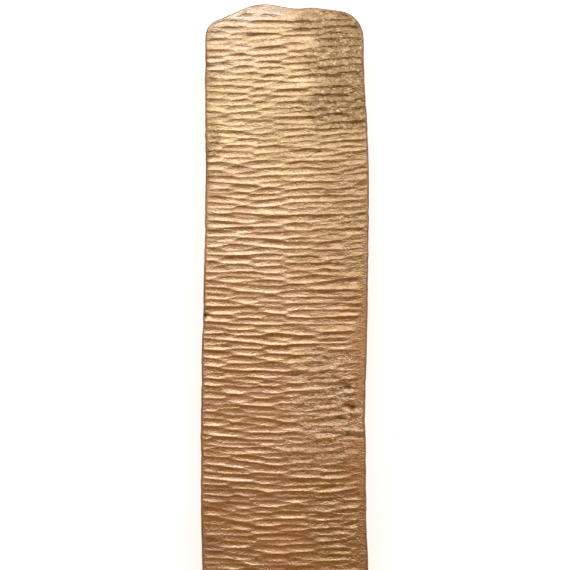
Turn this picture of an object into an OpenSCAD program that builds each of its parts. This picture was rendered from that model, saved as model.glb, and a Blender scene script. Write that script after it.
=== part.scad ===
// Brass ingot: one solid bar as it comes out of a casting mould.
// The wide casting face is the top. All four sides lean in towards a flat base, so that the bar
// leaves the mould. The bar lies along Y with its uneven head end towards +Y, and the origin is
// at the middle of the base. The ripples of the top face are finer than this model.

/* [Bar] */
// Length from end to end
bar_l = 350; // [200:1:600]
// Width across the top at the tail end
bar_w = 70; // [50:1:110]
// Thickness from the base to the top face
bar_h = 20; // [12:0.5:40]

/* [Sides] */
// Width across the top where the taper of the head end starts
front_w = 68.5; // [48:0.5:108]
// Length of the taper
taper_l = 65; // [30:1:90]
// Lean of the sides from upright, in degrees
draft = 9; // [2:0.5:15]
// Radius where the sides turn into the top face
top_edge_r = 1.2; // [0.5:0.1:5]
// Radius where the sides turn into the base
base_edge_r = 2; // [0.5:0.25:4]
// How far the bar strays to each side along its length
stray = 0.8; // [0:0.1:3]
// Length of one whole swing to both sides
stray_pitch = 200; // [80:1:400]
// Distance from the head end to the furthest point of the swing towards +X
stray_start = 82; // [0:1:200]

/* [Head end] */
// Width across the top at the head end
head_w = 66; // [46:0.5:105]
// Distance of the crest to the left of the middle
crest_x = 10.3; // [4:0.1:16]
// Radius of the crest
crest_r = 20; // [8:0.5:40]
// Distance of the shallow dip to the right of the middle
dip_x = 5.5; // [2:0.1:6]
// How far the dip lies behind the corner under the crest
dip_drop = 2.8; // [2.1:0.1:4]
// Distance of the low knob to the right of the middle
knob_x = 11.5; // [11:0.1:16]
// How far the knob lies behind the corner under the crest
knob_drop = 2; // [1:0.1:2.7]
// Radius of the dip and of the knob
dip_r = 15; // [5:0.5:18]
// How far the left shoulder lies behind the corner under the crest
left_drop = 9.6; // [2:0.1:16]
// Radius of the left shoulder
left_r = 8; // [6:0.5:14]
// How far the right shoulder lies behind the corner under the crest
right_drop = 4.7; // [3:0.1:16]
// Radius of the right shoulder
right_r = 11; // [6:0.5:14]

/* [Tail end] */
// Radius of both corners at the tail end
tail_r = 13; // [8:0.5:20]
// How far the middle of the tail end stands out past its corners
tail_bow = 3; // [0.5:0.1:8]
// Radius of the middle of the tail end
tail_bow_r = 60; // [20:1:120]

/* [Hidden] */

// Largest turn between two points of an arc, in degrees
arc_step = 9;
// Largest distance between two points of a straight stretch
side_step = 12;
// Radius of the slight bend in the sides where the taper starts
side_r = 400;
// How far the skin runs on past the base and the top, where a block trims it flat
trim = 1;

// How far the base lies inside the corner between side and top
base_inset = bar_h * tan(draft);
// How far the rounded top edge stays inside that corner
edge_cut = top_edge_r * (1 / cos(draft) - 1 + tan(draft));
// Run of the base and of the top face in the section, enough for both edge radii
face_run = 2 * (top_edge_r + base_edge_r);

// The slopes down from the crest and from the middle of the tail end
crest_left = atan(left_drop / (head_w / 2 - crest_x));
crest_right = atan(dip_drop / (crest_x + dip_x));
tail_slope = atan(tail_bow / (bar_w / 2));
// How far a radius cuts back the corner that it rounds, along Y
crest_cut = crest_r * (cos((crest_left - crest_right) / 2) / cos((crest_left + crest_right) / 2) - 1);
tail_cut = tail_bow_r * (1 / cos(tail_slope) - 1);
head_y = bar_l / 2 + crest_cut;
tail_y = -bar_l / 2 - tail_cut;

// The bar seen from above, as corners of [x, y, radius], anticlockwise from the right of the tail
outline_corners = [
    [bar_w / 2, tail_y + tail_bow, tail_r],
    [front_w / 2, head_y - taper_l, side_r],
    [head_w / 2, head_y - right_drop, right_r],
    [knob_x, head_y - knob_drop, dip_r],
    [dip_x, head_y - dip_drop, dip_r],
    [-crest_x, head_y, crest_r],
    [-head_w / 2, head_y - left_drop, left_r],
    [-front_w / 2, head_y - taper_l, side_r],
    [-bar_w / 2, tail_y + tail_bow, tail_r],
    [0, tail_y, tail_bow_r]
];

// One side in section, as corners of [x, z, radius]: out along the base, up the side, in over the
// top. The widest point of the rounded top edge is at x = 0.
section_corners = [
    [edge_cut - base_inset - face_run, 0, 0],
    [edge_cut - base_inset, 0, base_edge_r],
    [edge_cut, bar_h, top_edge_r],
    [edge_cut - face_run, bar_h, 0]
];

function unit(v) = v / norm(v);
function xy(p) = [p.x, p.y];
function right_of(d) = [d.y, -d.x];

// Corner i of a closed anticlockwise path, rounded: a list of [point, outward normal].
// Where the path turns the other way, the corner is a hollow and its centre lies outside.
function rounded(path, i) =
    let (
        n = len(path),
        here = xy(path[i]),
        n_in = right_of(unit(here - xy(path[(i + n - 1) % n]))),
        n_out = right_of(unit(xy(path[(i + 1) % n]) - here)),
        turn = atan2(cross(n_in, n_out), n_in * n_out),
        reach = (turn < 0 ? -1 : 1) * path[i][2],
        centre = here - reach * (n_in + n_out) / (1 + n_in * n_out),
        start = atan2(n_in.y, n_in.x),
        steps = max(1, ceil(abs(turn) / arc_step))
    )
    [for (s = [0 : steps])
        let (a = start + turn * s / steps, normal = [cos(a), sin(a)])
        [centre + reach * normal, normal]];

// A closed list of [point, normal], with more points along each long straight stretch
function filled(list) =
    [for (i = [0 : len(list) - 1])
        let (
            a = list[i],
            b = list[(i + 1) % len(list)],
            steps = max(1, ceil(norm(b[0] - a[0]) / side_step))
        )
        for (s = [0 : steps - 1]) a + (b - a) * s / steps];

outline = filled([for (i = [0 : len(outline_corners) - 1]) each rounded(outline_corners, i)]);

// The section's points from the base up, run on straight past the base and past the top
edges = [for (i = [1, 2]) for (p = rounded(section_corners, i)) p[0]];
section = [edges[0] - [0, trim], each edges, edges[len(edges) - 1] + [0, trim]];

// Sideways shift of the bar at y
function shift(y) = stray * cos(360 * (bar_l / 2 - stray_start - y) / stray_pitch);

// One ring of the skin: the outline moved out along its normals by s.x, at the height s.y
function ring(s) =
    [for (o = outline)
        let (p = o[0] + s.x * o[1])
        [p.x + shift(p.y), p.y, s.y]];

// The closed skin of all the rings, from the lowest to the highest
module skin() {
    count = len(outline);
    last = len(section) - 1;
    low_face = [for (i = [0 : count - 1]) i];
    high_face = [for (i = [count - 1 : -1 : 0]) last * count + i];
    side_faces = [
        for (k = [0 : last - 1], i = [0 : count - 1])
            let (j = (i + 1) % count, low = k * count, high = low + count)
            each [[low + i, high + i, high + j], [low + i, high + j, low + j]]
    ];
    polyhedron(points = [for (s = section) each ring(s)], faces = [low_face, high_face, each side_faces]);
}

// The block between the planes of the base and of the top face
module trim_block() {
    block_w = max(bar_w, front_w, head_w) + 4 * (stray + trim);
    translate([-block_w / 2, -bar_l / 2 - trim, 0])
        cube([block_w, bar_l + 2 * trim, bar_h]);
}

module ingot() {
    color([0.80, 0.60, 0.38])
        intersection() {
            skin();
            trim_block();
        }
}

ingot();
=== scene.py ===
"""The looks of a cast brass ingot: a long bar whose wide casting face carries fine cross ripples.

The bar is one closed surface. Its plan comes from the frame's own solid, its casting face is a
height field of many shallow overlapping dents, and its sides and base are rings carried down a
section. Lengths in the code are millimetres in the frame's axes: the bar lies along Y with its
head end at +Y, and its casting face looks up. They turn into metres when a mesh is written.
"""

import logging
import math
from dataclasses import dataclass, field
from enum import Enum

import bpy
import numpy as np
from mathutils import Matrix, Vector

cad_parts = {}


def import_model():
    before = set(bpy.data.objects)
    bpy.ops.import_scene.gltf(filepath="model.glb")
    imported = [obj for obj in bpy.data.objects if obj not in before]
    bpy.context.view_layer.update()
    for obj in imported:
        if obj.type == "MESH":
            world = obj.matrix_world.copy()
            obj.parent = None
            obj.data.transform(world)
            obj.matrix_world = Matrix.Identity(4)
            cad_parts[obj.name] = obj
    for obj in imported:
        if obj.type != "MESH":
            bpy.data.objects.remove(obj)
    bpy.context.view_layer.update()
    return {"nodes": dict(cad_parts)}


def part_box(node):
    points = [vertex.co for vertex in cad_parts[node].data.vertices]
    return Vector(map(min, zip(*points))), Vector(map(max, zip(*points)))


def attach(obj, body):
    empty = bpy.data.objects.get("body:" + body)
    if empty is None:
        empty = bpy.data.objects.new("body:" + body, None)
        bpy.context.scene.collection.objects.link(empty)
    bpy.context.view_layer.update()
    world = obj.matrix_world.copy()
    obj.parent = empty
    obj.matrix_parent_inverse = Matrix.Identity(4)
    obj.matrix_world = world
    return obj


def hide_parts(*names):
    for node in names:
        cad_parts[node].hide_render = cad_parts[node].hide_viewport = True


MM = 0.001
LOG = logging.getLogger("ingot")

Array = np.ndarray
Numbers = float | np.ndarray
Colour = tuple[float, float, float, float]

# Across the bar, where its rougher right half begins and where it is full.
RIGHT_HALF = (-8.0, 24.0)
# How far under the bar's widest ring of corners its outline is cut.
CUT_BELOW = 0.01


# ---------- Numbers ----------


def smooth_step(low: Numbers, high: Numbers, value: Numbers) -> Numbers:
    """A smooth rise from 0 at low to 1 at high: 3t^2 - 2t^3 of the clamped share t.

    Args:
        low: where the rise starts; it may lie above high, and then the rise is a fall.
        high: where the rise ends.
        value: the numbers to map.

    Returns:
        Numbers like value, from 0 to 1.
    """
    share = np.clip((value - low) / (high - low), 0.0, 1.0)
    return share * share * (3.0 - 2.0 * share)


@dataclass(frozen=True)
class SmoothNoise:
    """Seeded noise over the plan: a lattice of random heights joined by cubic B-splines.

    Attributes:
        pitch_x: lattice spacing across the bar.
        pitch_y: lattice spacing along the bar.
        seed: seed of the random heights.
        spread: about how far the noise strays from 0.
    """

    pitch_x: float
    pitch_y: float
    seed: int
    spread: float

    REACH_X = 60.0
    REACH_Y = 320.0
    SPARE_LINES = 6
    # Brings the spread of the joined heights back to about 1.
    GAIN = 2.0

    def __call__(self, x: Array, y: Array) -> Array:
        """The noise at each point: the B-spline weights of its 4 x 4 nearest lattice heights.

        Args:
            x: distances across the bar.
            y: distances along the bar.

        Returns:
            An array like x, with a mean near 0.
        """
        columns = int(2 * self.REACH_X / self.pitch_x) + self.SPARE_LINES
        rows = int(2 * self.REACH_Y / self.pitch_y) + self.SPARE_LINES
        lattice = np.random.default_rng(self.seed).normal(size=(rows, columns))
        u = (x + self.REACH_X) / self.pitch_x + 1.0
        v = (y + self.REACH_Y) / self.pitch_y + 1.0
        column, row = np.floor(u).astype(int), np.floor(v).astype(int)
        weights_u, weights_v = self.spline(u - column), self.spline(v - row)
        total = np.zeros_like(x)
        for i in range(4):
            for j in range(4):
                at_row = np.clip(row + i - 1, 0, rows - 1)
                at_column = np.clip(column + j - 1, 0, columns - 1)
                total += weights_v[i] * weights_u[j] * lattice[at_row, at_column]
        return self.spread * (self.GAIN * total)

    @staticmethod
    def spline(t: Array) -> list[Array]:
        """The four uniform cubic B-spline weights of the lattice lines around a point.

        Args:
            t: how far the point lies into its lattice cell, as a share of the cell.

        Returns:
            The weight of the line before the cell, of its two borders, and of the line after it.
        """
        return [
            (1 - t) ** 3 / 6,
            (3 * t**3 - 6 * t**2 + 4) / 6,
            (-3 * t**3 + 3 * t**2 + 3 * t + 1) / 6,
            t**3 / 6,
        ]


# ---------- The plan and the section of the bar ----------


@dataclass
class Plan:
    """The bar's widest outline: a closed anticlockwise curve with outward normals.

    Attributes:
        points: points of the curve, evenly spaced along it.
        normals: the unit normal at each point.
    """

    points: Array
    normals: Array

    SAMPLES = 4096
    ROUNDING = 0.6
    SAME_POINT = 0.01
    NEAREST_STEP = 4
    BATCH = 8192

    @classmethod
    def cut_from(cls, solid: bpy.types.Object, height: float) -> "Plan":
        """Cuts a solid of the frame at a height and makes one smooth closed curve of the cut.

        Each triangle edge that passes the height gives a point, the points are put in order by
        their direction from the middle, and the curve is spaced evenly and slightly rounded.

        Args:
            solid: a CAD node whose mesh is triangles.
            height: the height of the cut.

        Returns:
            The outline at that height.
        """
        mesh = solid.data
        corners = np.empty(len(mesh.vertices) * 3)
        mesh.vertices.foreach_get("co", corners)
        corners = corners.reshape(-1, 3) / MM
        edges = np.empty(len(mesh.edges) * 2, dtype=np.int32)
        mesh.edges.foreach_get("vertices", edges)
        low, high = corners[edges[0::2]], corners[edges[1::2]]
        passes = (low[:, 2] - height) * (high[:, 2] - height) < 0
        low, high = low[passes], high[passes]
        share = (height - low[:, 2]) / (high[:, 2] - low[:, 2])
        cut = low[:, :2] + share[:, None] * (high - low)[:, :2]
        cut = cut[np.argsort(np.arctan2(cut[:, 1], cut[:, 0]))]
        apart = np.linalg.norm(cut - np.roll(cut, 1, axis=0), axis=1) > cls.SAME_POINT
        return cls.smoothed(cut[apart])

    @classmethod
    def smoothed(cls, corners: Array) -> "Plan":
        """Spaces a closed polygon evenly and rounds it with a narrow bell along its length.

        The rounding multiplies each frequency f of the curve by exp(-2 (pi f ROUNDING)^2). A
        normal is the direction from the point before to the point after, turned to the right.

        Args:
            corners: the polygon's corners, anticlockwise, an n x 2 array.

        Returns:
            The rounded outline.
        """
        closed = np.vstack([corners, corners[:1]])
        run = np.concatenate([[0.0], np.cumsum(np.linalg.norm(np.diff(closed, axis=0), axis=1))])
        at = np.arange(cls.SAMPLES) * run[-1] / cls.SAMPLES
        even = np.stack([np.interp(at, run, closed[:, k]) for k in (0, 1)], axis=1)
        turns = np.fft.fftfreq(cls.SAMPLES, d=run[-1] / cls.SAMPLES)
        bell = np.exp(-2.0 * (math.pi * turns * cls.ROUNDING) ** 2)
        points = np.fft.ifft(np.fft.fft(even, axis=0) * bell[:, None], axis=0).real
        along = np.roll(points, -1, axis=0) - np.roll(points, 1, axis=0)
        along /= np.linalg.norm(along, axis=1, keepdims=True)
        return cls(points, np.stack([along[:, 1], -along[:, 0]], axis=1))

    def position_of(self, direction: float) -> float:
        """The position, as a share of the curve, where the normal has a direction in degrees."""
        want = np.array([math.cos(math.radians(direction)), math.sin(math.radians(direction))])
        return float(np.argmax(self.normals @ want)) / self.SAMPLES

    def ring(self, positions: Array, inset: float) -> Array:
        """Points at positions along the curve, moved inwards along the normals by the inset."""
        return self.at(self.points, positions) - inset * self.at(self.normals, positions)

    def at(self, values: Array, positions: Array) -> Array:
        """Values of the closed curve at positions that may lie between its samples.

        Args:
            values: two numbers for each sample, such as its point or its normal.
            positions: shares of the curve's length.

        Returns:
            The values at the positions, an n x 2 array.
        """
        closed = np.vstack([values, values[:1]])
        places = (positions % 1.0) * self.SAMPLES
        samples = np.arange(self.SAMPLES + 1)
        return np.stack([np.interp(places, samples, closed[:, k]) for k in (0, 1)], axis=1)

    def nearest(self, x: Array, y: Array) -> tuple[Array, Array]:
        """The distance from each point to the curve, and the normal of the curve there.

        Args:
            x: distances across the bar.
            y: distances along the bar.

        Returns:
            The distances, and an n x 2 array of normals.
        """
        curve, normals = self.points[:: self.NEAREST_STEP], self.normals[:: self.NEAREST_STEP]
        distance, index = np.empty(len(x)), np.empty(len(x), dtype=int)
        for start in range(0, len(x), self.BATCH):
            part = slice(start, start + self.BATCH)
            gap = (x[part, None] - curve[:, 0]) ** 2 + (y[part, None] - curve[:, 1]) ** 2
            index[part] = np.argmin(gap, axis=1)
            distance[part] = np.sqrt(gap[np.arange(len(gap)), index[part]])
        return distance, normals[index]


@dataclass(frozen=True)
class Section:
    """One side of the bar in section, from the casting face out and down to the base.

    Attributes:
        height: thickness of the bar.
        draft: lean of the side from upright, in degrees.
        top_radius: radius between the side and the casting face.
        base_radius: radius between the side and the base.
    """

    height: float
    draft: float = 9.0
    top_radius: float = 1.2
    base_radius: float = 2.0

    @property
    def widest(self) -> float:
        """The height at which the bar is widest."""
        return self.height - self.top_radius

    def shoulder(self, steps: int) -> tuple[Array, Array]:
        """The quarter round from the casting face out to the widest point.

        Args:
            steps: number of steps of the round.

        Returns:
            The insets from the outline and the heights, steps + 1 of each.
        """
        angle = np.linspace(0.0, math.pi / 2, steps + 1)
        inset = self.top_radius * (1.0 - np.sin(angle))
        return inset, self.height - self.top_radius * (1.0 - np.cos(angle))

    def side(self, wall_steps: int, edge_steps: int) -> tuple[Array, Array]:
        """The side from just under the widest point down to the base.

        It starts where the top round has turned into the leaning wall. The wall runs straight,
        and the base radius turns it under.

        Args:
            wall_steps: number of steps of the wall.
            edge_steps: number of steps of the base radius.

        Returns:
            The insets from the outline and the heights, from the top down.
        """
        lean = math.radians(self.draft)
        turned = self.top_radius * (1.0 - math.cos(lean))
        wall_top = self.widest - self.top_radius * math.sin(lean)
        wall_foot = self.base_radius * (1.0 - math.sin(lean))
        heights = np.linspace(wall_top, wall_foot, wall_steps + 1)
        insets = turned + (wall_top - heights) * math.tan(lean)
        angle = np.linspace(lean, math.pi / 2, edge_steps + 1)[1:]
        centre = insets[-1] + self.base_radius * math.cos(lean)
        edge_insets = centre - self.base_radius * np.cos(angle)
        edge_heights = self.base_radius * (1.0 - np.sin(angle))
        return np.concatenate([insets, edge_insets]), np.concatenate([heights, edge_heights])


# ---------- The relief of the casting face ----------


@dataclass(frozen=True)
class DentColumn:
    """One column of dents that follow each other along the bar.

    Attributes:
        centre: where the column lies across the bar.
        pitch: distance from one dent to the next.
        length: half length of a dent across the bar.
        width: half width of a dent along the bar.
        depth: depth of a dent in its middle.
        seed: seed of the column's scatter.
    """

    centre: float
    pitch: float
    length: float
    width: float
    depth: float
    seed: int

    SCATTER_ACROSS = 2.4
    SCATTER_ALONG = 0.18
    SCATTER_SIZE = 0.13
    SCATTER_WIDTH = 0.065
    SCATTER_TILT = 0.032
    SCATTER_BEND = 0.0015
    SIDE_POWER = 2.4
    END_POWER = 2.0
    REACH = 330.0
    NEIGHBOURS = 2

    def depths(self, x: Array, y: Array) -> list[Array]:
        """The depth that each of the nearest dents of the column would cut at each point.

        A dent is a long bowl: its depth times 1 - |v / width|^SIDE_POWER - |u / length|^END_POWER,
        where u runs along the dent's own tilted and slightly bent axis and v across it.

        Args:
            x: distances across the bar.
            y: distances along the bar.

        Returns:
            An array for each dent from NEIGHBOURS before the nearest one to NEIGHBOURS after it;
            a depth is negative outside its dent.
        """
        draw = np.random.default_rng(self.seed)
        count = int(2 * self.REACH / self.pitch)
        start = -self.REACH + draw.uniform() * self.pitch
        steps = np.arange(count) + self.SCATTER_ALONG * draw.normal(size=count)
        place_y = start + self.pitch * steps
        place_x = self.centre + self.SCATTER_ACROSS * draw.normal(size=count)
        length = self.length * np.exp(self.SCATTER_SIZE * draw.normal(size=count))
        width = self.width * np.exp(self.SCATTER_WIDTH * draw.normal(size=count))
        depth = self.depth * np.exp(self.SCATTER_SIZE * draw.normal(size=count))
        tilt = self.SCATTER_TILT * draw.normal(size=count) + Ripples.fan(place_x, place_y)
        bend = self.SCATTER_BEND * draw.normal(size=count)
        nearest = np.floor((y - start) / self.pitch + 0.5).astype(int)
        cuts = []
        for step in range(-self.NEIGHBOURS, self.NEIGHBOURS + 1):
            k = np.clip(nearest + step, 0, count - 1)
            u = x - place_x[k]
            v = y - place_y[k] - (tilt[k] + bend[k] * u) * u
            across = np.abs(v / width[k]) ** self.SIDE_POWER
            along = np.abs(u / length[k]) ** self.END_POWER
            cuts.append(depth[k] * (1.0 - across - along))
        return cuts


@dataclass
class Ripples:
    """The cross ripples of the casting face: columns of dents that interleave like fingers.

    Attributes:
        columns: the columns of dents, from left to right.
    """

    columns: list[DentColumn] = field(default_factory=list)

    COLUMN_COUNT = 6
    COLUMN_REACH = 30.0
    PITCH_LEFT, PITCH_RIGHT = 2.65, 2.75
    DEPTH_LEFT, DEPTH_RIGHT = 0.32, 0.30
    WIDTH_SHARE = 0.64
    LENGTH = 12.0
    FIRST_SEED = 260

    # Slants, as the rise of a dent's axis along the bar for each step across it. The first one
    # is for each millimetre from the middle. The pairs say where along or across the bar a
    # slant fades in, or out at the head's side of the band.
    SLANT_RIGHT, SLANT_LEFT, SLANT_BAND = 0.0030, 0.075, 0.07
    BACK, LEFT_SIDE, OFF_LEFT_EDGE = (130.0, -30.0), (2.0, -16.0), (-28.0, 0.0)
    BAND_FROM, BAND_TO = (50.0, 100.0), (165.0, 135.0)

    SHIFT_X = SmoothNoise(14.0, 9.0, 11, 1.8)
    SHIFT_Y = SmoothNoise(16.0, 7.0, 12, 0.14)
    SHIVER_Y = SmoothNoise(3.4, 2.6, 13, 0.01)
    STRETCH_Y = 0.97

    SHARPNESS = 40.0
    FAR_OUTSIDE = -1.0
    CREST_SHARPNESS = 8.0
    CREST_SPAN = 1.1
    CREST_FADE = (0.40, 0.95)
    CREST_HEIGHT = 0.08
    SAMPLE_OFFSETS = (-0.22, -0.11, 0.0, 0.11, 0.22)
    SAMPLE_WEIGHTS = (1.0, 2.0, 3.0, 2.0, 1.0)

    def __post_init__(self) -> None:
        """Lays out the columns of dents, with slightly closer and deeper dents on the left."""
        for k, share in enumerate(np.linspace(0.0, 1.0, self.COLUMN_COUNT)):
            pitch = self.PITCH_LEFT + (self.PITCH_RIGHT - self.PITCH_LEFT) * float(share)
            column = DentColumn(
                centre=self.COLUMN_REACH * (2.0 * float(share) - 1.0),
                pitch=pitch,
                length=self.LENGTH,
                width=self.WIDTH_SHARE * pitch,
                depth=self.DEPTH_LEFT + (self.DEPTH_RIGHT - self.DEPTH_LEFT) * float(share),
                seed=self.FIRST_SEED + k,
            )
            self.columns.append(column)

    @classmethod
    def fan(cls, x: Array, y: Array) -> Array:
        """The slant of a dent's axis.

        Away from the head the dents rise from the middle to both sides. In a band behind the
        head they rise to the right, except at the left edge.

        Args:
            x: where the dents lie across the bar.
            y: where they lie along the bar.

        Returns:
            The rise along the bar for each step to the right.
        """
        right = cls.SLANT_RIGHT * np.maximum(x, 0.0)
        to_sides = right - cls.SLANT_LEFT * smooth_step(*cls.LEFT_SIDE, x)
        band = smooth_step(*cls.BAND_FROM, y) * smooth_step(*cls.BAND_TO, y)
        in_band = cls.SLANT_BAND * band * smooth_step(*cls.OFF_LEFT_EDGE, x)
        return to_sides * smooth_step(*cls.BACK, y) + in_band

    def depth(self, x: Array, y: Array) -> Array:
        """The depth of the joined dents, as a weighted mean of places close together along y.

        The crests between dents are sharper than the grid that samples them, and the mean keeps
        a crest that runs slantwise over the grid from turning into steps.

        Args:
            x: distances across the bar.
            y: distances along the bar.

        Returns:
            The depths.
        """
        total = np.zeros_like(x)
        for offset, weight in zip(self.SAMPLE_OFFSETS, self.SAMPLE_WEIGHTS):
            total += weight * self.depth_at(x, y + offset)
        return total / sum(self.SAMPLE_WEIGHTS)

    def depth_at(self, x: Array, y: Array) -> Array:
        """The depth of the joined dents: the soft maximum log(1 + sum of exp(s d)) / s.

        Noise first shifts the points, so that the columns wander. A second, much softer maximum
        stands out above the deepest cut where several dents meet, and the crest is raised there.

        Args:
            x: distances across the bar.
            y: distances along the bar.

        Returns:
            The depths.
        """
        moved_x = x + self.SHIFT_X(x, y)
        moved_y = self.STRETCH_Y * y + self.SHIFT_Y(x, y) + self.SHIVER_Y(x, y)
        total, soft, deepest = np.ones_like(x), np.ones_like(x), np.zeros_like(x)
        for column in self.columns:
            for cut in column.depths(moved_x, moved_y):
                held = np.maximum(cut, self.FAR_OUTSIDE)
                total += np.exp(self.SHARPNESS * held)
                soft += np.exp(self.CREST_SHARPNESS * held)
                deepest = np.maximum(deepest, cut)
        crest = (np.log(soft) - self.CREST_SHARPNESS * deepest) / self.CREST_SPAN
        raised = self.CREST_HEIGHT * smooth_step(*self.CREST_FADE, crest)
        return np.log(total) / self.SHARPNESS - raised


class Zone(Enum):
    """Parts of the bar's skin that the finish treats in their own way, stored as attributes.

    SIDE is 0 on the casting face, 1 on its rounded edge, and between them on walls and base.
    """

    # Pale patches painted on as highlights.
    PALE = "pale"
    SANDY = "sandy"
    PITTED = "pitted"
    COPPERY = "coppery"
    STAINED = "stained"
    SIDE = "side"


@dataclass(frozen=True)
class Spot:
    """A long round spot on the casting face, placed from the head end.

    Attributes:
        x: its middle across the bar.
        behind: how far its middle lies behind the head end.
        radius_x: its half length across the bar.
        radius_y: its half length along the bar.
        strength: its value in the middle; a depth where the spot is a pit, a height on a lip.
    """

    x: float
    behind: float
    radius_x: float
    radius_y: float
    strength: float = 1.0

    def squared(self, x: Array, behind: Array) -> Array:
        """The squared distance from the middle, in radii."""
        return ((x - self.x) / self.radius_x) ** 2 + ((behind - self.behind) / self.radius_y) ** 2

    def bell(self, x: Array, behind: Array) -> Array:
        """strength * exp(-squared distance)."""
        return self.strength * np.exp(-self.squared(x, behind))

    def cover(self, x: Array, behind: Array, soft: float) -> Array:
        """The strength, falling to 0 where the squared distance goes from 1 - soft to 1 + soft."""
        return self.strength * smooth_step(1.0 + soft, 1.0 - soft, self.squared(x, behind))


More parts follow.
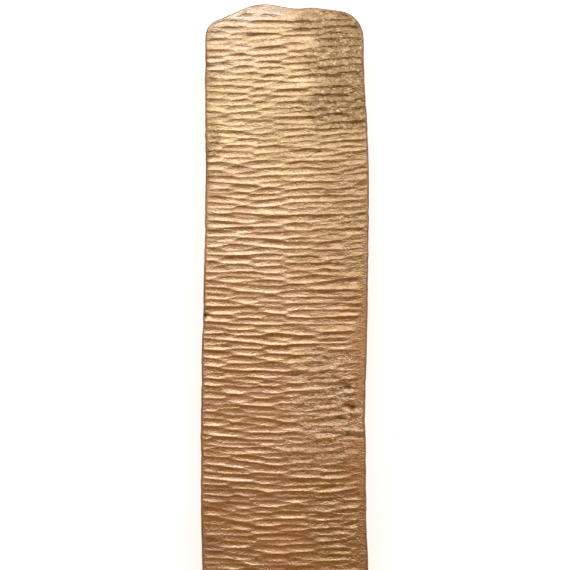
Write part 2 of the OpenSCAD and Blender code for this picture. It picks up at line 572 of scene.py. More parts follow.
@dataclass
class CastingFace:
    """Heights and zones of the casting face.

    Attributes:
        plan: the bar's widest outline.
        head_y: where the head end lies.
        ripples: the cross ripples.
    """

    plan: Plan
    head_y: float
    ripples: Ripples

    # Depths below the top plane: of the highest points and, under them, of the level margin.
    CEILING = 0.06
    LEVEL = 0.42
    # The ripples' own mean depth, and how strongly they show.
    MIDDLE = 0.30
    STRENGTH = 0.95
    STRENGTH_LIMITS = (0.5, 1.2)
    SANDY_DEEPER, HEAD_DEEPER = 0.22, 0.07
    HEAD_PART = (105.0, 150.0)

    MARGIN_LEFT = 1.5
    MARGIN_RIGHT = 4.6
    MARGIN_HEAD = 1.3
    MARGIN_END = 4.2
    MARGIN_FADE = (0.80, 1.15)
    RIDGE, RIDGE_WIDTH = 0.11, 0.45
    # Where along the bar the right margin widens, and for which turns of the outline's normal,
    # to the right or endwards, the right margin, the ends' margin and the ridge hold.
    WIDENS = (110.0, 40.0)
    AT_RIGHT, AT_ENDS, RIDGE_HOLDS = (0.0, 0.9), (0.93, 0.98), (0.85, 0.45)
    # How soft the borders of patches are.
    BORDER, SANDY_BORDER = 0.55, 0.85
    # How strongly streaks and crumbs show: all over, and how much more in each part. The last
    # number is the share of the crumbs that is left in the margin.
    STREAKY, STREAKY_RIGHT = 0.30, 0.80
    CRUMBLY, CRUMBLY_RIGHT, CRUMBLY_SANDY, CRUMBLY_PITTED = 0.05, 0.38, 0.95, 0.70
    CRUMBLY_MARGIN = 0.3

    MARGIN_SWAY = SmoothNoise(9.0, 7.0, 21, 0.16)
    WANDER_X = SmoothNoise(6.0, 5.0, 31, 1.8)
    FRAY_X = SmoothNoise(1.8, 1.4, 32, 0.8)
    WANDER_Y = SmoothNoise(7.0, 5.0, 33, 2.0)
    FRAY_Y = SmoothNoise(1.8, 1.4, 34, 0.8)
    STRENGTH_SWAY = SmoothNoise(16.0, 14.0, 41, 0.10)
    CRUMBS = SmoothNoise(1.5, 1.0, 51, 0.05)
    CLUMPS = SmoothNoise(2.8, 1.6, 52, 0.035)
    LUMPS = SmoothNoise(3.0, 1.6, 53, 0.035)
    STREAKS = SmoothNoise(3.2, 0.80, 54, 0.035)
    JAG = SmoothNoise(1.3, 1.1, 55, 0.30)
    SWELL = SmoothNoise(24.0, 30.0, 61, 0.08)

    STAINED_PIT = 0.6
    PIT_CORE = (0.25, 0.65)
    # Lips: the share of painted highlight, and the rises over which it comes in and stain goes.
    LIP_PALE, LIP_PALES, LIP_CLEANS = 0.55, (0.10, 0.34), (0.30, 0.10)

    SANDY = (
        Spot(24.0, 12.0, 13.5, 12.0, 0.80),
        Spot(39.0, 24.0, 25.0, 15.0),
        Spot(37.0, 42.0, 29.0, 15.0),
        Spot(38.0, 84.0, 30.0, 46.0, 0.34),
        Spot(4.0, 54.0, 20.0, 15.0, 0.28),
        Spot(26.0, 216.0, 18.0, 24.0, 0.26),
        Spot(-34.0, 22.0, 4.0, 11.0, 0.60),
        Spot(-28.0, 10.5, 4.0, 3.6, 0.45),
        Spot(-35.5, 60.0, 5.5, 34.0, 0.55),
    )
    # Pale patches painted on as highlights: at the head end, and fainter ones further back.
    PALE = (
        Spot(-11.0, 2.5, 16.0, 4.2, 0.62),
        Spot(-24.0, 10.0, 8.0, 6.0, 0.35),
        Spot(-22.0, 24.0, 9.0, 7.0, 0.28),
        Spot(-20.0, 97.0, 20.0, 12.0, 0.14),
        Spot(-18.0, 200.0, 22.0, 14.0, 0.10),
        Spot(-24.0, 232.0, 14.0, 9.0, 0.25),
    )
    PITTED = (
        Spot(17.0, 152.0, 16.0, 10.0),
        Spot(22.0, 170.0, 18.0, 14.0),
        Spot(14.0, 186.0, 18.0, 8.0),
    )
    PITS = (
        Spot(26.0, 159.8, 1.7, 0.9, 0.68),
        Spot(22.5, 158.9, 2.4, 0.6, 0.30),
        Spot(20.4, 162.0, 1.6, 0.7, 0.30),
        Spot(28.2, 168.3, 1.8, 0.9, 0.68),
        Spot(26.2, 167.2, 2.2, 0.6, 0.32),
        Spot(23.6, 172.6, 1.9, 0.7, 0.35),
        Spot(28.5, 172.8, 1.2, 0.6, 0.25),
        Spot(18.4, 166.4, 1.6, 0.6, 0.25),
        Spot(16.0, 178.5, 1.8, 0.6, 0.25),
        Spot(4.8, 154.8, 2.6, 0.7, 0.26),
        Spot(8.5, 190.0, 1.7, 0.7, 0.25),
        Spot(27.6, 180.0, 3.6, 0.8, 0.30),
    )
    NICKS = (Spot(-34.2, 129.6, 2.2, 0.7, 0.9), Spot(-34.4, 127.6, 1.2, 0.6, 0.5))
    LIPS = (
        Spot(27.0, 162.0, 1.7, 0.9, 0.42),
        Spot(29.2, 170.6, 1.7, 0.9, 0.42),
        Spot(28.6, 177.6, 3.8, 0.7, 0.42),
        Spot(31.6, 174.0, 0.9, 3.0, 0.20),
    )
    COPPERY = (
        Spot(36.0, 100.0, 26.0, 46.0, 0.36),
        Spot(34.5, 75.0, 5.0, 12.0, 0.5),
        Spot(34.0, 128.0, 6.0, 12.0, 0.9),
        Spot(33.5, 152.0, 6.0, 12.0),
        Spot(31.5, 194.0, 8.0, 16.0, 0.9),
        Spot(28.0, 7.5, 7.5, 5.0, 0.6),
        Spot(3.5, 3.0, 5.5, 1.6, 0.5),
        Spot(-20.0, 88.0, 4.5, 3.5, 0.5),
        Spot(8.0, 110.5, 6.5, 2.6, 0.5),
        Spot(-7.0, 95.0, 9.0, 5.0, 0.35),
        Spot(-22.0, 150.0, 6.0, 4.0, 0.45),
        Spot(-6.0, 172.0, 10.0, 5.0, 0.45),
        Spot(14.0, 186.0, 12.0, 6.0, 0.5),
        Spot(-22.0, 212.0, 9.0, 8.0, 0.4),
        Spot(2.0, 222.0, 10.0, 7.0, 0.5),
    )
    STAINED = (
        Spot(-33.4, 21.8, 2.2, 4.4, 0.9),
        Spot(-31.2, 23.8, 3.2, 1.4, 0.9),
        Spot(-30.0, 20.6, 4.5, 0.9, 0.5),
        Spot(-31.5, 31.5, 3.0, 1.0, 0.4),
        Spot(-34.0, 64.5, 2.2, 4.4, 0.6),
        Spot(-33.8, 71.0, 2.2, 2.8, 0.55),
        Spot(31.6, 9.5, 1.8, 2.6, 0.5),
        Spot(-33.8, 130.0, 2.0, 1.4, 0.7),
        Spot(-20.0, 74.0, 20.0, 11.0, 0.05),
        Spot(-27.0, 204.0, 9.0, 6.0, 0.15),
        Spot(-31.5, 225.5, 4.0, 3.0, 0.28),
    )

    @staticmethod
    def union(spots: tuple[Spot, ...], x: Array, behind: Array, soft: float = BORDER) -> Array:
        """The strongest of several spots at each point."""
        return np.max([spot.cover(x, behind, soft) for spot in spots], axis=0)

    def margin(self, x: Array, y: Array) -> tuple[Array, Array]:
        """The smooth margin along the edge of the face.

        Its width follows the normal of the nearest piece of outline: narrow on the left, wide
        across both ends, and on the right narrow near the head and wide further back. It varies
        slightly along the edge. The ridge exp(-(distance from the margin's inner border /
        RIDGE_WIDTH)^2) follows that border, and fades out where the outline turns to the ends.

        Args:
            x: distances across the bar.
            y: distances along the bar.

        Returns:
            How fully the ripples show at each point, 0 at the edge and 1 inside, and the ridge,
            from 0 to 1.
        """
        distance, normal = self.plan.nearest(x, y)
        endwards = np.abs(normal[:, 1])
        right = smooth_step(*self.AT_RIGHT, normal[:, 0])
        further_back = smooth_step(*self.WIDENS, y)
        wide = self.MARGIN_HEAD + (self.MARGIN_RIGHT - self.MARGIN_HEAD) * further_back
        width = self.MARGIN_LEFT + (wide - self.MARGIN_LEFT) * right
        width = width + (self.MARGIN_END - width) * smooth_step(*self.AT_ENDS, endwards)
        width = width * (1.0 + self.MARGIN_SWAY(x, y))
        ridge = np.exp(-(((distance - width) / self.RIDGE_WIDTH) ** 2))
        ridge = ridge * smooth_step(*self.RIDGE_HOLDS, endwards)
        inner, outer = (share * width for share in self.MARGIN_FADE)
        return smooth_step(inner, outer, distance), ridge

    def zones(self, x: Array, y: Array) -> dict[Zone, Array]:
        """The patches of the face, with ragged borders.

        Noise moves each point before it is tested. The coppery and stained patches take half of
        that movement, which leaves their borders smoother.

        Args:
            x: distances across the bar.
            y: distances along the bar.

        Returns:
            The value of each zone but SIDE at each point, from 0 to 1.
        """
        behind = self.head_y - y
        ragged_x = x + self.WANDER_X(x, y) + self.FRAY_X(x, y)
        ragged = behind + self.WANDER_Y(x, y) + self.FRAY_Y(x, y)
        half_x, half = 0.5 * (x + ragged_x), 0.5 * (behind + ragged)
        return {
            Zone.SANDY: self.union(self.SANDY, ragged_x, ragged, self.SANDY_BORDER),
            Zone.PALE: self.union(self.PALE, ragged_x, ragged),
            Zone.PITTED: self.union(self.PITTED, ragged_x, ragged),
            Zone.COPPERY: self.union(self.COPPERY, half_x, half),
            Zone.STAINED: self.union(self.STAINED, half_x, half),
        }

    def relief(self, x: Array, y: Array) -> tuple[Array, dict[Zone, Array]]:
        """How far the surface lies below the top plane, and the zones that go with it.

        The ripples fade into a level margin. Streaks, crumbs and lumps are added, rougher on
        the right and in the patches, and the whole face swells gently. Then come pits and lips,
        and the highest points are held at the ceiling.

        Args:
            x: distances across the bar.
            y: distances along the bar.

        Returns:
            The depths, and the value of each zone but SIDE from 0 to 1.
        """
        margin, ridge = self.margin(x, y)
        zones = self.zones(x, y)
        sandy, pitted = zones[Zone.SANDY], zones[Zone.PITTED]
        right = smooth_step(*RIGHT_HALF, x)
        deeper = self.SANDY_DEEPER * sandy + self.HEAD_DEEPER * smooth_step(*self.HEAD_PART, y)
        strength = np.clip(self.STRENGTH + self.STRENGTH_SWAY(x, y), *self.STRENGTH_LIMITS)
        strength = strength * (1.0 + deeper) * margin
        depth = self.LEVEL + (self.ripples.depth(x, y) - self.MIDDLE) * strength
        depth += self.STREAKS(x, y) * (self.STREAKY + self.STREAKY_RIGHT * right) * margin
        crumbly = self.CRUMBLY + self.CRUMBLY_RIGHT * right
        crumbly = crumbly + self.CRUMBLY_SANDY * sandy + self.CRUMBLY_PITTED * pitted
        inside = self.CRUMBLY_MARGIN + (1.0 - self.CRUMBLY_MARGIN) * margin
        depth += (self.CRUMBS(x, y) + self.CLUMPS(x, y)) * crumbly * inside
        depth += self.LUMPS(x, y) * pitted * margin
        depth += self.SWELL(x, y) - self.RIDGE * ridge
        depth += self.pits_and_lips(x, y, zones)
        return np.maximum(depth + self.CEILING, self.CEILING), zones

    def pits_and_lips(self, x: Array, y: Array, zones: dict[Zone, Array]) -> Array:
        """The depth of the pits and nicks less the height of the lips, each of them a bell.

        The core of a pit or nick is stained, fully if it is deep. A lip gets a painted highlight
        and loses its stain.

        Args:
            x: distances across the bar.
            y: distances along the bar.
            zones: the zones at each point, of which STAINED and the painted highlight are changed.

        Returns:
            The depths to add.
        """
        jag = self.JAG(x, y)
        jagged_x, jagged = x + jag, self.head_y - y + jag
        depth = np.zeros_like(x)
        stained, pale = zones[Zone.STAINED], zones[Zone.PALE]
        for pit in self.PITS + self.NICKS:
            cut = pit.bell(jagged_x, jagged)
            depth += cut
            core = smooth_step(*self.PIT_CORE, cut / pit.strength)
            stained = np.maximum(stained, min(1.0, pit.strength / self.STAINED_PIT) * core)
        for lip in self.LIPS:
            rise = lip.bell(jagged_x, jagged)
            depth -= rise
            # A lip gets a painted highlight.
            pale = np.maximum(pale, self.LIP_PALE * smooth_step(*self.LIP_PALES, rise))
            stained = stained * smooth_step(*self.LIP_CLEANS, rise)
        zones[Zone.STAINED], zones[Zone.PALE] = stained, pale
        return depth


# ---------- The surface of the bar ----------


class Shell:
    """Collects points, their zones and the faces of one closed mesh."""

    def __init__(self) -> None:
        """Starts with no points and no faces."""
        self.points: list[Array] = []
        self.zones: dict[Zone, list[Array]] = {zone: [] for zone in Zone}
        self.count = 0
        self.quads: list[Array] = []
        self.triangles: list[Array] = []

    def add_points(self, points: Array, zones: dict[Zone, Array]) -> Array:
        """Adds points and their zones.

        Args:
            points: an n x 3 array.
            zones: the value of some zones at each point; the others are 0.

        Returns:
            The indices of the points.
        """
        ids = self.count + np.arange(len(points))
        self.points.append(points)
        self.count += len(points)
        for zone, stored in self.zones.items():
            stored.append(zones.get(zone, np.zeros(len(points))))
        return ids

    def add_grid(self, index: Array) -> None:
        """Adds the quads of a grid of indices, facing up where the rows run to +Y."""
        corners = [index[:-1, :-1], index[:-1, 1:], index[1:, 1:], index[1:, :-1]]
        self.quads.append(np.stack(corners, axis=-1).reshape(-1, 4))

    def add_band(self, upper: Array, lower: Array) -> None:
        """Adds the quads between two anticlockwise rings of the same count, facing outwards."""
        self.quads.append(np.stack([upper, lower, np.roll(lower, -1), np.roll(upper, -1)], axis=-1))

    def add_fan(self, upper: Array, lower: Array) -> None:
        """Joins a fine ring to a coarse one below it with triangles facing outwards.

        Each coarse point takes the fine edges of the first half of its own cell and the last
        half of the cell before, and one triangle closes each coarse edge.

        Args:
            upper: the fine ring, whose count is a multiple of the coarse one.
            lower: the coarse ring.
        """
        ratio = len(upper) // len(lower)
        fine = np.concatenate([upper, upper[:1]])
        following = np.roll(lower, -1)
        half = ratio // 2
        cells = np.arange(len(lower)) * ratio
        for at in range(ratio):
            apex = lower if at < half else following
            self.triangles.append(np.stack([fine[cells + at], apex, fine[cells + at + 1]], axis=-1))
        self.triangles.append(np.stack([fine[cells + half], lower, following], axis=-1))

    def write(self, name: str) -> bpy.types.Object:
        """Writes the mesh in metres, with its zones, and links its object at the origin.

        Args:
            name: name of the object and the mesh.

        Returns:
            The new object, shaded smooth.
        """
        points = np.vstack(self.points) * MM
        quads, triangles = np.vstack(self.quads), np.vstack(self.triangles)
        corners = np.concatenate([quads.ravel(), triangles.ravel()]).astype(np.int32)
        sizes = np.concatenate([np.full(len(quads), 4), np.full(len(triangles), 3)])
        starts = np.concatenate([[0], np.cumsum(sizes)[:-1]]).astype(np.int32)
        mesh = bpy.data.meshes.new(name)
        mesh.vertices.add(len(points))
        mesh.vertices.foreach_set("co", points.ravel())
        mesh.loops.add(len(corners))
        mesh.loops.foreach_set("vertex_index", corners)
        mesh.polygons.add(len(sizes))
        mesh.polygons.foreach_set("loop_start", starts)
        mesh.update(calc_edges=True)
        mesh.shade_smooth()
        for zone, stored in self.zones.items():
            attribute = mesh.attributes.new(zone.value, "FLOAT", "POINT")
            attribute.data.foreach_set("value", np.concatenate(stored).astype(np.float32))
        piece = bpy.data.objects.new(name, mesh)
        bpy.context.scene.collection.objects.link(piece)
        return piece


@dataclass
class Ingot:
    """The whole bar as one closed mesh.

    Attributes:
        plan: the widest outline.
        section: the section of a side.
        face: the casting face.
        rows: cells of the face along the bar, a multiple of 8.
        columns: cells of the face across the bar, a multiple of 8.
    """

    plan: Plan
    section: Section
    face: CastingFace
    rows: int = 1056
    columns: int = 72

    NAME = "ingot_skin"
    CLEAR = 0.05
    SHOULDER_STEPS = 3
    WALL_STEPS = 7
    EDGE_STEPS = 3
    WALL_THINNING = 2
    BASE_THINNING = 4
    BASE_INSET = 1.5
    END_REACH = 45.0

    # How the finish of the sides, partly their cast skin and partly painted shade, fades in over
    # the rounded edge, and how much the walls take.
    EDGE_FADE = (0.1, 0.55)
    WALL_SKIN_AND_SHADE = 0.6

    # Mean set-backs and their noise, of the uneven top edge and of the mould's marks.
    WORN = 0.12
    WEAR = SmoothNoise(9.0, 8.0, 81, 0.12)
    CHIPS = SmoothNoise(2.0, 1.6, 82, 0.07)
    MARKED = 0.12
    WAVES = SmoothNoise(5.0, 16.0, 71, 0.10)
    CRUMBS = SmoothNoise(2.4, 2.2, 72, 0.05)
    AROUND, STACKED = 0.7, 2.0

    def build(self) -> bpy.types.Object:
        """Adds the face, the shoulder, the walls and the base to a shell and writes it.

        Returns:
            The bar's object.
        """
        shell = Shell()
        positions = self.loop_positions()
        edge = self.add_face(shell, positions)
        rim = self.add_shoulder(shell, positions, edge)
        foot = self.add_walls(shell, positions[:: self.WALL_THINNING], rim)
        self.add_base(shell, positions[:: self.WALL_THINNING * self.BASE_THINNING], foot)
        return shell.write(self.NAME)

    def loop_positions(self) -> Array:
        """Positions of the rings' points on the outline, anticlockwise from the tail's left.

        The outline is parted where its normal points to the four diagonals. The tail and the
        head stretch take the columns, and the two sides take the rows, each evenly spaced.

        Returns:
            2 (rows + columns) shares of the outline's length.
        """
        corners = [self.plan.position_of(angle) for angle in (225.0, 315.0, 45.0, 135.0)]
        stretches = []
        for k, count in enumerate([self.columns, self.rows, self.columns, self.rows]):
            length = (corners[(k + 1) % 4] - corners[k]) % 1.0
            stretches.append(corners[k] + length * np.arange(count) / count)
        return np.concatenate(stretches)

    def fill(self, loop: Array, rows: int, columns: int) -> Array:
        """Fills a ring with a grid of points.

        The sides give straight rows between them, and each end pulls the rows near it to its
        own line, by a share that falls from 1 at the end to 0 at END_REACH from it.

        Args:
            loop: the closed ring of 2 (rows + columns) points, from the tail's left.
            rows: cells along the bar.
            columns: cells across the bar.

        Returns:
            A (rows + 1) x (columns + 1) x 2 array, row 0 at the tail.
        """
        tail = loop[: columns + 1]
        right = loop[columns : columns + rows + 1]
        head = loop[columns + rows : 2 * columns + rows + 1][::-1]
        left = np.vstack([loop[2 * columns + rows :], loop[:1]])[::-1]
        across = np.linspace(0.0, 1.0, columns + 1)[None, :, None]
        grid = left[:, None] * (1.0 - across) + right[:, None] * across
        length = np.linalg.norm(left[-1] - left[0])
        along = np.linspace(0.0, 1.0, rows + 1)
        near_tail = smooth_step(self.END_REACH, 0.0, along * length)[:, None, None]
        near_head = smooth_step(self.END_REACH, 0.0, (1.0 - along) * length)[:, None, None]
        return grid + near_tail * (tail - grid[0]) + near_head * (head - grid[-1])

    def worn_ring(self, positions: Array, inset: float, share: float = 1.0) -> Array:
        """A ring that is set back where the top edge is uneven.

        Args:
            positions: positions of the ring's points on the outline.
            inset: how far the section sets the whole ring back.
            share: how much of the unevenness the ring takes.

        Returns:
            The points, an n x 2 array.
        """
        ring = self.plan.ring(positions, inset + self.CLEAR)
        x, y = ring[:, 0], ring[:, 1]
        uneven = self.WORN + self.WEAR(x, y) + self.CHIPS(x, y)
        outward = self.plan.at(self.plan.normals, positions)
        return ring - share * np.maximum(uneven, 0.0)[:, None] * outward

    @staticmethod
    def border(index: Array) -> Array:
        """The border of a grid of indices as a ring, anticlockwise from the tail's left."""
        return np.concatenate([index[0, :-1], index[:-1, -1], index[-1, :0:-1], index[:0:-1, 0]])

    def add_face(self, shell: Shell, positions: Array) -> Array:
        """Adds the casting face as a grid whose heights are the relief.

        Args:
            shell: the mesh that takes it.
            positions: positions of the border's points on the outline.

        Returns:
            The indices of the border.
        """
        ring = self.worn_ring(positions, self.section.top_radius)
        grid = self.fill(ring, self.rows, self.columns).reshape(-1, 2)
        depth, zones = self.face.relief(grid[:, 0], grid[:, 1])
        ids = shell.add_points(np.column_stack([grid, self.section.height - depth]), zones)
        index = ids.reshape(self.rows + 1, self.columns + 1)
        shell.add_grid(index)
        return self.border(index)

    def add_shoulder(self, shell: Shell, positions: Array, upper: Array) -> Array:
        """Adds the round from the casting face out to the widest point.

        The relief of the face fades out over the round, and the side's finish fades in.

        Args:
            shell: the mesh that takes it.
            positions: positions of each ring's points on the outline.
            upper: the indices of the face's border.

        Returns:
            The indices of the lowest ring.
        """
        insets, heights = self.section.shoulder(self.SHOULDER_STEPS)
        for step in range(1, self.SHOULDER_STEPS + 1):
            share = step / self.SHOULDER_STEPS
            ring = self.worn_ring(positions, insets[step])
            depth, zones = self.face.relief(ring[:, 0], ring[:, 1])
            zones[Zone.SIDE] = np.full(len(ring), smooth_step(*self.EDGE_FADE, share))
            points = np.column_stack([ring, heights[step] - depth * (1.0 - share)])
            lower = shell.add_points(points, zones)
            shell.add_band(upper, lower)
            upper = lower
        return upper

    def mould_marks(self, ring: Array, level: float) -> Array:
        """How far the mould's own unevenness sets the side back at each point of a ring.

        The noise is read at STACKED times the height and at y + AROUND x.

        Args:
            ring: the points, an n x 2 array.
            level: the height of the ring.

        Returns:
            The set-backs, none below 0, which fade out at the base.
        """
        around = ring[:, 1] + self.AROUND * ring[:, 0]
        stacked = np.full(len(ring), self.STACKED * level)
        marks = self.MARKED + self.WAVES(stacked, around) + self.CRUMBS(stacked, around)
        return np.maximum(marks, 0.0) * min(1.0, level / self.section.base_radius)

    def add_walls(self, shell: Shell, positions: Array, upper: Array) -> Array:
        """Adds the leaning sides and the round that turns them into the base.

        Args:
            shell: the mesh that takes them.
            positions: positions of each ring's points on the outline.
            upper: the indices of the shoulder's lowest ring.

        Returns:
            The indices of the lowest ring.
        """
        outward = self.plan.at(self.plan.normals, positions)
        for inset, level in zip(*self.section.side(self.WALL_STEPS, self.EDGE_STEPS)):
            ring = self.worn_ring(positions, inset, smooth_step(0.0, self.section.height, level))
            ring = ring - self.mould_marks(ring, level)[:, None] * outward
            points = np.column_stack([ring, np.full(len(ring), level)])
            lower = shell.add_points(points, {Zone.SIDE: np.full(len(ring), self.WALL_SKIN_AND_SHADE)})
            join = shell.add_band if len(lower) == len(upper) else shell.add_fan
            join(upper, lower)
            upper = lower
        return upper

    def add_base(self, shell: Shell, positions: Array, upper: Array) -> None:
        """Adds the flat base as a coarse grid, facing down.

        Args:
            shell: the mesh that takes it.
            positions: positions of the border's points on the outline.
            upper: the indices of the walls' lowest ring.
        """
        thinning = self.WALL_THINNING * self.BASE_THINNING
        rows, columns = self.rows // thinning, self.columns // thinning
        foot_inset = self.section.side(self.WALL_STEPS, self.EDGE_STEPS)[0][-1]
        loop = self.plan.ring(positions, foot_inset + self.CLEAR + self.BASE_INSET)
        grid = self.fill(loop, rows, columns).reshape(-1, 2)
        points = np.column_stack([grid, np.zeros(len(grid))])
        ids = shell.add_points(points, {Zone.SIDE: np.full(len(grid), self.WALL_SKIN_AND_SHADE)})
        index = ids.reshape(rows + 1, columns + 1)
        shell.add_fan(upper, self.border(index))
        shell.add_grid(index[::-1])


# ---------- Shader graphs ----------


class Wire:
    """A shader socket that takes part in arithmetic: each operator adds one Math node."""

    def __init__(self, graph: "Graph", socket: bpy.types.NodeSocket) -> None:
        """Wraps an output socket of a graph."""
        self.graph = graph
        self.socket = socket

    def __add__(self, other: "Wire | float") -> "Wire":
        """This plus other."""
        return self.graph.math("ADD", self, other)

    def __radd__(self, other: float) -> "Wire":
        """Other plus this."""
        return self.graph.math("ADD", other, self)

    def __sub__(self, other: "Wire | float") -> "Wire":
        """This minus other."""
        return self.graph.math("SUBTRACT", self, other)

    def __rsub__(self, other: float) -> "Wire":
        """Other minus this."""
        return self.graph.math("SUBTRACT", other, self)

    def __mul__(self, other: "Wire | float") -> "Wire":
        """This times other."""
        return self.graph.math("MULTIPLY", self, other)

    def __rmul__(self, other: float) -> "Wire":
        """Other times this."""
        return self.graph.math("MULTIPLY", other, self)

    def clamped(self) -> "Wire":
        """This, held between 0 and 1."""
        return self.graph.math("ADD", self, 0.0, clamp=True)


class Graph:
    """The node tree of one material or of the world."""

    def __init__(self, tree: bpy.types.NodeTree) -> None:
        """Empties the tree."""
        self.tree = tree
        tree.nodes.clear()

    def node(
        self, kind: str, settings: dict | None = None, inputs: dict | None = None
    ) -> bpy.types.Node:
        """Adds a node, sets it up, and then fills or links its sockets.

        Args:
            kind: the node's type.
            settings: its properties by name.
            inputs: values or wires by socket name or number.

        Returns:
            The node.
        """
        made = self.tree.nodes.new(kind)
        for name, value in (settings or {}).items():
            setattr(made, name, value)
        for name, value in (inputs or {}).items():
            if isinstance(value, Wire):
                self.tree.links.new(value.socket, made.inputs[name])
            else:
                made.inputs[name].default_value = value
        return made

    def wire(
        self, kind: str, output: str | int, settings: dict | None = None, inputs: dict | None = None
    ) -> Wire:
        """Adds a node and returns one of its outputs as a wire."""
        return Wire(self, self.node(kind, settings, inputs).outputs[output])

    def math(
        self, operation: str, left: "Wire | float", right: "Wire | float", clamp: bool = False
    ) -> Wire:
        """Adds a Math node on two values."""
        settings = {"operation": operation, "use_clamp": clamp}
        return self.wire("ShaderNodeMath", 0, settings, {0: left, 1: right})

    def millimetres(self) -> Wire:
        """The point on the object, in millimetres."""
        inputs = {0: self.wire("ShaderNodeTexCoord", "Object"), "Scale": 1.0 / MM}
        return self.wire("ShaderNodeVectorMath", 0, {"operation": "SCALE"}, inputs)

    def axis(self, vector: Wire, name: str) -> Wire:
        """The part of a vector along the axis X, Y or Z."""
        return self.wire("ShaderNodeSeparateXYZ", name, None, {0: vector})

    def stretched(self, point: Wire, scale: tuple[float, float, float]) -> Wire:
        """The point with each axis multiplied by its own number."""
        return self.wire("ShaderNodeVectorMath", 0, {"operation": "MULTIPLY"}, {0: point, 1: scale})

    def noise(self, point: Wire, size: float, detail: float, roughness: float = 0.5) -> Wire:
        """Fractal noise around 0.5 whose largest lumps are about size across."""
        inputs = {"Vector": point, "Scale": 1.0 / size, "Detail": detail, "Roughness": roughness}
        return self.wire("ShaderNodeTexNoise", "Fac", None, inputs)

    def cells(self, point: Wire, size: float) -> Wire:
        """A random number from 0 to 1 for each small cell about size across."""
        inputs = {"Vector": point, "Scale": 1.0 / size}
        return self.axis(self.wire("ShaderNodeTexVoronoi", "Color", None, inputs), "X")

    def rise(self, value: Wire, low: float, high: float) -> Wire:
        """A smooth rise of the value from 0 at low to 1 at high, which may lie below low."""
        inputs = {"Value": value, "From Min": low, "From Max": high}
        return self.wire("ShaderNodeMapRange", 0, {"interpolation_type": "SMOOTHSTEP"}, inputs)

    def attribute(self, name: str) -> Wire:
        """A number stored with the surface."""
        return self.wire("ShaderNodeAttribute", "Fac", {"attribute_name": name})

    def mix(self, share: Wire, first: "Wire | Colour", second: "Wire | Colour") -> Wire:
        """The first colour with a share of the second, held between 0 and 1."""
        settings = {"data_type": "RGBA", "clamp_factor": True}
        return self.wire("ShaderNodeMix", 2, settings, {0: share, 6: first, 7: second})


# ---------- Finishes ----------


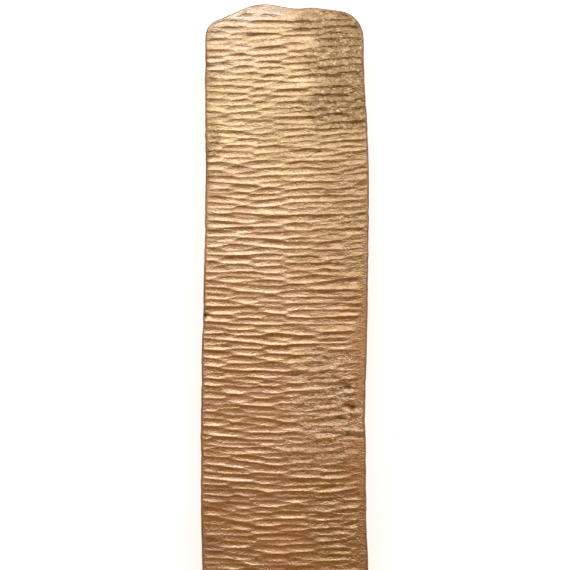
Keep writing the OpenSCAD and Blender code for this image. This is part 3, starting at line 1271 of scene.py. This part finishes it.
@dataclass(frozen=True)
class CastBrass:
    """Brass as it comes out of the mould: satin, grainy, with a thin uneven tarnish."""

    name: str = "cast_brass"
    golden: Colour = (0.89, 0.635, 0.335, 1.0)
    rosy: Colour = (0.94, 0.645, 0.375, 1.0)
    copper: Colour = (0.80, 0.435, 0.180, 1.0)
    olive: Colour = (0.87, 0.66, 0.25, 1.0)
    straw: Colour = (0.93, 0.70, 0.34, 1.0)
    pink: Colour = (0.96, 0.60, 0.43, 1.0)
    # Painted highlight: the pale colour of brighter lit patches and of lips.
    pale: Colour = (1.0, 0.85, 0.66, 1.0)
    spark: Colour = (0.98, 0.76, 0.40, 1.0)
    sand: Colour = (0.42, 0.275, 0.095, 1.0)
    # The sides' colour: partly their darker cast skin, partly painted shade of a shadowed floor
    # seen in them.
    flank_skin_and_shade: Colour = (0.57, 0.352, 0.156, 1.0)
    russet: Colour = (0.84, 0.52, 0.31, 1.0)
    stain: Colour = (0.14, 0.088, 0.052, 1.0)
    crust: Colour = (0.43, 0.262, 0.118, 1.0)
    tarnish: Colour = (0.30, 0.192, 0.085, 1.0)
    # Painted shade: the dark line laid on the rounded edge around the casting face.
    rim: Colour = (0.235, 0.165, 0.115, 1.0)
    roughness: float = 0.30
    unevenness: float = 0.2
    coat: float = 0.8
    coat_roughness: float = 0.3
    bump_height: float = 0.3

    def material(self) -> bpy.types.Material:
        """Builds the material.

        The coat is thinner on sandy patches, and fades out on stains and towards the sides.

        Returns:
            The material.
        """
        made = bpy.data.materials.new(self.name)
        made.use_nodes = True
        graph = Graph(made.node_tree)
        point = graph.millimetres()
        right = graph.rise(graph.axis(point, "X"), *RIGHT_HALF)
        zone = {each: graph.attribute(each.value) for each in Zone}
        coated = (1.0 - zone[Zone.STAINED] - zone[Zone.SIDE]) * (1.0 - zone[Zone.SANDY] * 0.4)
        inputs = {
            "Base Color": self.colour(graph, point, right, zone),
            "Roughness": self.gloss(graph, point, zone),
            "Metallic": 1.0,
            "Coat Weight": (coated * self.coat).clamped(),
            "Coat Roughness": self.coat_roughness,
            "Normal": self.bump(graph, point, right, zone),
        }
        shader = graph.wire("ShaderNodeBsdfPrincipled", 0, None, inputs)
        graph.node("ShaderNodeOutputMaterial", None, {"Surface": shader})
        return made

    def colour(self, graph: Graph, point: Wire, right: Wire, zone: dict[Zone, Wire]) -> Wire:
        """Golden brass under a list of layers, each laid over the ones before it by its share.

        The brass turns rosy away from the head, with a straw band near the head. Pink and olive
        blotches and grains, the patches, the sides (darker partly from their crusted cast skin and
        partly from painted shade), pale patches of painted highlight, stains and a mottled tarnish
        follow, and the last layer is a painted shade: a dark line around the casting face where
        its rounded edge turns away.

        Args:
            graph: the material's graph.
            point: the point on the object, in millimetres.
            right: the rougher right half, from 0 to 1.
            zone: the stored zones.

        Returns:
            The base colour.
        """
        way = graph.axis(point, "Y")
        side, sandy, pitted = zone[Zone.SIDE], zone[Zone.SANDY], zone[Zone.PITTED]
        patches = sandy + pitted * 0.5
        broad = graph.noise(point, 22.0, 3.0) - 0.5
        blotch = graph.noise(graph.stretched(point, (0.7, 1.0, 1.0)), 5.0, 5.0, 0.75)
        skin = graph.noise(graph.stretched(point, (0.6, 0.6, 1.0)), 3.5, 6.0, 0.72)
        mottle = graph.noise(point, 1.7, 3.0, 0.7)
        tint = graph.cells(graph.stretched(point, (0.6, 1.0, 1.0)), 1.0)
        coarse = graph.cells(graph.stretched(point, (0.8, 1.0, 1.0)), 0.85)
        grit = graph.cells(point, 0.55)
        back = graph.rise(way + broad * 160.0, 150.0, -40.0)
        yellow = graph.rise(way + broad * 40.0, 104.0, 118.0) * graph.rise(way, 160.0, 138.0)
        head_left = graph.rise(way, 112.0, 145.0) * (1.0 - right)
        dark = graph.rise(mottle, 0.42, 0.70) * (patches * 0.20 + 0.22)
        # Besides mottle and grit, the tarnish share is raised over the right half and near the head
        # on the left.
        dark = dark + right * 0.09 + head_left * 0.12 + grit * (0.30 - side * 0.3)
        dark = dark + graph.rise(coarse, 0.45, 0.05) * patches * 0.50
        layers = [
            (back, self.rosy),
            (yellow * 0.6, self.straw),
            (graph.rise(blotch, 0.48, 0.62) * (back * 0.30 + 0.30 - yellow * 0.2), self.pink),
            (graph.rise(blotch, 0.50, 0.36) * (right * 0.15 + 0.40), self.olive),
            (graph.rise(tint, 0.55, 1.0) * (back * 0.3 + right * 0.2 + 0.15), self.pink),
            (graph.rise(tint, 0.45, 0.0) * (right * 0.25 + 0.3), self.olive),
            (zone[Zone.COPPERY] * 0.8, self.copper),
            (sandy * 0.85, self.sand),
            (graph.rise(coarse, 0.66, 0.95) * patches * 0.75, self.spark),
            (pitted * 0.25, self.russet),
            # The sides are darker: partly their cast skin, partly painted shade.
            (side * 1.6, self.flank_skin_and_shade),
            (graph.rise(blotch, 0.46, 0.66) * side * 0.7, self.copper),
            (graph.rise(skin, 0.40, 0.62) * side * 1.3, self.crust),
            # Painted highlight: pale patches.
            (zone[Zone.PALE], self.pale),
            (zone[Zone.STAINED], self.stain),
            (dark, self.tarnish),
            # Painted shade: a dark line where the rounded edge turns away from the casting face.
            (graph.rise(side, 0.60, 0.95) * 0.95, self.rim),
        ]
        colour = self.golden
        for share, laid in layers:
            colour = graph.mix(share, colour, laid)
        return colour

    def gloss(self, graph: Graph, point: Wire, zone: dict[Zone, Wire]) -> Wire:
        """The roughness: uneven, and higher on pitted and coppery patches and on the sides.

        Args:
            graph: the material's graph.
            point: the point on the object, in millimetres.
            zone: the stored zones.

        Returns:
            The roughness, from 0 to 1.
        """
        speck = graph.noise(point, 0.9, 3.0, 0.6) - 0.5
        patches = zone[Zone.PITTED] * 0.05 + zone[Zone.COPPERY] * 0.12 + zone[Zone.SIDE] * 0.04
        return (self.roughness + patches + speck * self.unevenness).clamped()

    def bump(self, graph: Graph, point: Wire, right: Wire, zone: dict[Zone, Wire]) -> Wire:
        """Fine grain, stronger in the patches, and larger lumps, strongest on the sides.

        Args:
            graph: the material's graph.
            point: the point on the object, in millimetres.
            right: the rougher right half, from 0 to 1.
            zone: the stored zones.

        Returns:
            The normal.
        """
        patches = zone[Zone.SANDY] + zone[Zone.PITTED] * 0.7
        grain = graph.noise(point, 0.6, 1.0) * (0.60 + patches * 0.80)
        lumpy = 0.20 + right * 0.20 + patches * 0.1 + zone[Zone.SIDE] * 1.1
        height = grain + graph.noise(point, 1.6, 2.0, 0.6) * lumpy
        inputs = {"Strength": 1.0, "Distance": self.bump_height * MM, "Height": height}
        return graph.wire("ShaderNodeBump", 0, None, inputs)


@dataclass(frozen=True)
class PaleFloor:
    """A plain matt floor that glows a little, so that it stays pale under the soft light."""

    name: str = "pale_floor"
    colour: Colour = (0.86, 0.86, 0.86, 1.0)
    roughness: float = 0.9
    specular: float = 0.1
    glow: float = 0.72

    def material(self) -> bpy.types.Material:
        """Builds the material.

        Returns:
            The material.
        """
        made = bpy.data.materials.new(self.name)
        made.use_nodes = True
        graph = Graph(made.node_tree)
        inputs = {
            "Base Color": self.colour,
            "Roughness": self.roughness,
            "Specular IOR Level": self.specular,
            "Emission Color": self.colour,
            "Emission Strength": self.glow,
        }
        shader = graph.wire("ShaderNodeBsdfPrincipled", 0, None, inputs)
        graph.node("ShaderNodeOutputMaterial", None, {"Surface": shader})
        return made


# ---------- The studio ----------


@dataclass(frozen=True)
class Softbox:
    """An oblong area light over the middle line of the bar, turned to a point on that line.

    Attributes:
        name: name of the light.
        ahead: how far in front of the head end it hangs.
        up: how high it hangs.
        aim: how far in front of the head end the point lies that it is turned to.
        width: its size across the bar.
        length: its other size.
        power: its power in watts.
        colour: its colour.
    """

    name: str
    ahead: float
    up: float
    aim: float
    width: float
    length: float
    power: float
    colour: tuple[float, float, float] = (0.90, 1.0, 1.22)

    def build(self, head_y: float) -> None:
        """Makes the light and turns it to its target.

        Args:
            head_y: where the head end lies.
        """
        data = bpy.data.lights.new(self.name, "AREA")
        data.shape = "RECTANGLE"
        data.size, data.size_y = self.width * MM, self.length * MM
        data.energy = self.power
        data.color = self.colour
        lamp = bpy.data.objects.new(self.name, data)
        place = Vector((0.0, head_y + self.ahead, self.up))
        target = Vector((0.0, head_y + self.aim, 0.0))
        lamp.location = place * MM
        lamp.rotation_euler = (target - place).to_track_quat("-Z", "Y").to_euler()
        bpy.context.scene.collection.objects.link(lamp)


@dataclass(frozen=True)
class Studio:
    """The floor, the lights and the world around the bar."""

    head_y: float
    floor_size: float = 6000.0
    sky: Colour = (0.38, 0.202, 0.062, 1.0)
    dusk: Colour = (0.225, 0.116, 0.028, 1.0)
    horizon: Colour = (0.93, 0.89, 0.82, 1.0)

    SOFTBOXES = (
        Softbox("key", 593.0, 1019.0, 127.0, 2200.0, 1350.0, 6.3),
        Softbox("strip", 470.0, 980.0, -60.0, 1800.0, 500.0, 3.4),
    )
    SKY_FADE = (-0.45, 0.30)
    HORIZON_FADE = (0.38, 0.10)

    def build(self) -> None:
        """Makes the floor, the softboxes and the world."""
        half = self.floor_size / 2 * MM
        mesh = bpy.data.meshes.new("floor")
        corners = [(-half, -half, 0), (half, -half, 0), (half, half, 0), (-half, half, 0)]
        mesh.from_pydata(corners, [], [(0, 1, 2, 3)])
        floor = bpy.data.objects.new("floor", mesh)
        bpy.context.scene.collection.objects.link(floor)
        mesh.materials.append(PaleFloor().material())
        for softbox in self.SOFTBOXES:
            softbox.build(self.head_y)
        self.dress_world()

    def dress_world(self) -> None:
        """Makes a warm sky that darkens behind the tail, over a pale band at the horizon."""
        world = bpy.data.worlds.new("studio")
        bpy.context.scene.world = world
        world.use_nodes = True
        graph = Graph(world.node_tree)
        way = graph.wire("ShaderNodeTexCoord", "Generated")
        ahead = graph.rise(graph.axis(way, "Y"), *self.SKY_FADE)
        down = graph.rise(graph.axis(way, "Z"), *self.HORIZON_FADE)
        colour = graph.mix(down, graph.mix(ahead, self.dusk, self.sky), self.horizon)
        shader = graph.wire("ShaderNodeBackground", 0, None, {"Color": colour, "Strength": 1.0})
        graph.node("ShaderNodeOutputWorld", None, {"Surface": shader})


@dataclass(frozen=True)
class OverheadCamera:
    """A long lens that looks straight down on the head half of the bar.

    Attributes:
        head_y: where the head end lies.
        top_z: the height at which the view is as long as shown.
        shown: the length along the bar that fills the view.
        room: the free length in front of the head end.
        lens: focal length of the lens.
        sensor: width of the sensor.
    """

    head_y: float
    top_z: float
    shown: float = 237.5
    room: float = 1.7
    lens: float = 100.0
    sensor: float = 36.0

    def build(self) -> None:
        """Makes the camera and hangs it over the middle of what it shows."""
        data = bpy.data.cameras.new("camera")
        data.lens, data.sensor_width = self.lens, self.sensor
        camera = bpy.data.objects.new("camera", data)
        distance = self.shown * self.lens / self.sensor
        middle = self.head_y + self.room - self.shown / 2
        camera.location = Vector((0.0, middle, self.top_z + distance)) * MM
        bpy.context.scene.collection.objects.link(camera)
        bpy.context.scene.camera = camera


def main() -> None:
    """Builds the bar on its frame, dresses it, and sets up the studio."""
    logging.basicConfig(level=logging.INFO, format="%(name)s: %(message)s")
    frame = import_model()
    solid = frame["nodes"]["ingot"]
    low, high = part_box("ingot")
    head_y, height = high.y / MM, (high.z - low.z) / MM
    section = Section(height=height)
    plan = Plan.cut_from(solid, section.widest - CUT_BELOW)
    face = CastingFace(plan, head_y, Ripples())
    piece = Ingot(plan, section, face).build()
    piece.data.materials.append(CastBrass().material())
    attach(piece, "root")
    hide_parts("ingot")
    LOG.info("%s: %d faces", piece.name, len(piece.data.polygons))
    Studio(head_y).build()
    OverheadCamera(head_y, section.widest).build()
    scene = bpy.context.scene
    scene.view_settings.view_transform = "Standard"


if __name__ == "__main__":
    main()
